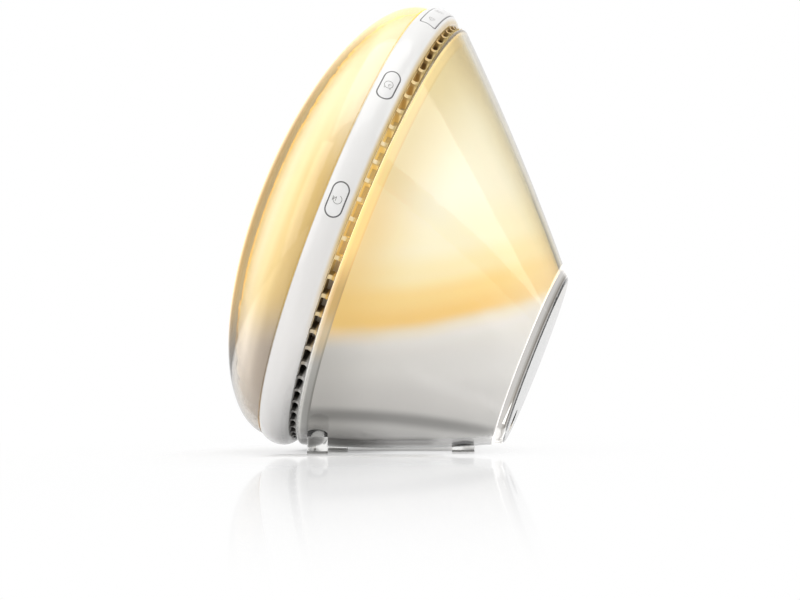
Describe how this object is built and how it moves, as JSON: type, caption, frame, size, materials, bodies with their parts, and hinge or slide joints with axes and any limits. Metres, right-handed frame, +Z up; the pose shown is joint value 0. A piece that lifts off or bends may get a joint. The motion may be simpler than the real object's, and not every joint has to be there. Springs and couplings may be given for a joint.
{
  "type": "sunrise alarm clock",
  "caption": "Bedside wake-up light: a leaning white ring with side buttons and a top rocker key, a glowing front dome and a clear cone-shaped rear housing on clear feet.",
  "frame": {"origin": "middle of the clock's box, on the surface it stands on", "axes": "+Z up, the dome faces -Y, the rear housing points to +Y, +X to the clock's left-hand side"},
  "size_m": [0.1978, 0.1428, 0.1887],
  "materials": {
    "clear_plastic": "clear, polished",
    "opal_plastic": "opal, satin",
    "white_gloss": "polished",
    "white_key": "polished",
    "cream_plastic": "satin",
    "white_plastic": "matte",
    "dark_plastic": "matte",
    "amber_lens": "translucent",
    "board_green": "lacquered",
    "board_white": "lacquered",
    "led_yellow": "gloss",
    "aluminium": "extruded",
    "steel": "zinc plated",
    "speaker_paper": "pressed paper",
    "magnet": "ferrite",
    "clear_rubber": "clear, soft"
  },
  "bodies": {
    "housing": {"board_parts": "dark_plastic", "board_screws": "steel", "chassis": "white_plastic", "chassis_screws": "steel", "dc_inlet": "dark_plastic", "display_board": "board_green", "display_digits": "amber_lens", "display_housing": "dark_plastic", "display_standoffs": "white_plastic", "front_cover": "clear_plastic", "front_diffuser": "opal_plastic", "front_lamp_board": "board_white", "front_leds": "led_yellow", "front_left_foot": "clear_plastic", "front_left_foot_pad": "clear_rubber", "front_right_foot": "clear_plastic", "front_right_foot_pad": "clear_rubber", "heat_sink": "aluminium", "key_left_switch": "dark_plastic", "key_left_switch_board": "board_green", "key_pin": "steel", "key_right_switch": "dark_plastic", "key_right_switch_board": "board_green", "light_tray": "white_plastic", "lower_left_switch": "dark_plastic", "lower_left_switch_board": "board_green", "lower_right_switch": "dark_plastic", "lower_right_switch_board": "board_green", "main_board": "board_green", "rear_foot": "clear_plastic", "rear_foot_pad": "clear_rubber", "rear_lamp_board": "board_white", "rear_leds": "led_yellow", "rear_liner": "opal_plastic", "rear_shell": "clear_plastic", "ring_band": "white_gloss", "speaker_cone": "speaker_paper", "speaker_frame": "dark_plastic", "speaker_magnet": "magnet", "upper_left_switch": "dark_plastic", "upper_left_switch_board": "board_green", "upper_right_switch": "dark_plastic", "upper_right_switch_board": "board_green", "vent_frame": "cream_plastic"},
    "key": {"top_key": "white_key"},
    "upper_right_button": {"upper_right_button": "white_key"},
    "lower_right_button": {"lower_right_button": "white_key"},
    "upper_left_button": {"upper_left_button": "white_key"},
    "lower_left_button": {"lower_left_button": "white_key"}
  },
  "joints": [
    {"name": "key_rock", "type": "hinge", "parent": "housing", "child": "key", "pos_m": [0, 0.01795, 0.18021], "axis": [0, 0.9298, -0.3681], "range_deg": [-1.2, 1.2], "stiffness_Nm_per_rad": 2},
    {"name": "upper_right_press", "type": "slide", "parent": "housing", "child": "upper_right_button", "axis": [-0.832, -0.2043, -0.5159], "range_m": [0, 0.0006], "stiffness_N_per_m": 900},
    {"name": "lower_right_press", "type": "slide", "parent": "housing", "child": "lower_right_button", "axis": [-0.9988, -0.018, -0.0454], "range_m": [0, 0.0006], "stiffness_N_per_m": 900},
    {"name": "upper_left_press", "type": "slide", "parent": "housing", "child": "upper_left_button", "axis": [0.832, -0.2043, -0.5159], "range_m": [0, 0.0006], "stiffness_N_per_m": 900},
    {"name": "lower_left_press", "type": "slide", "parent": "housing", "child": "lower_left_button", "axis": [0.9988, -0.018, -0.0454], "range_m": [0, 0.0006], "stiffness_N_per_m": 900}
  ]
}
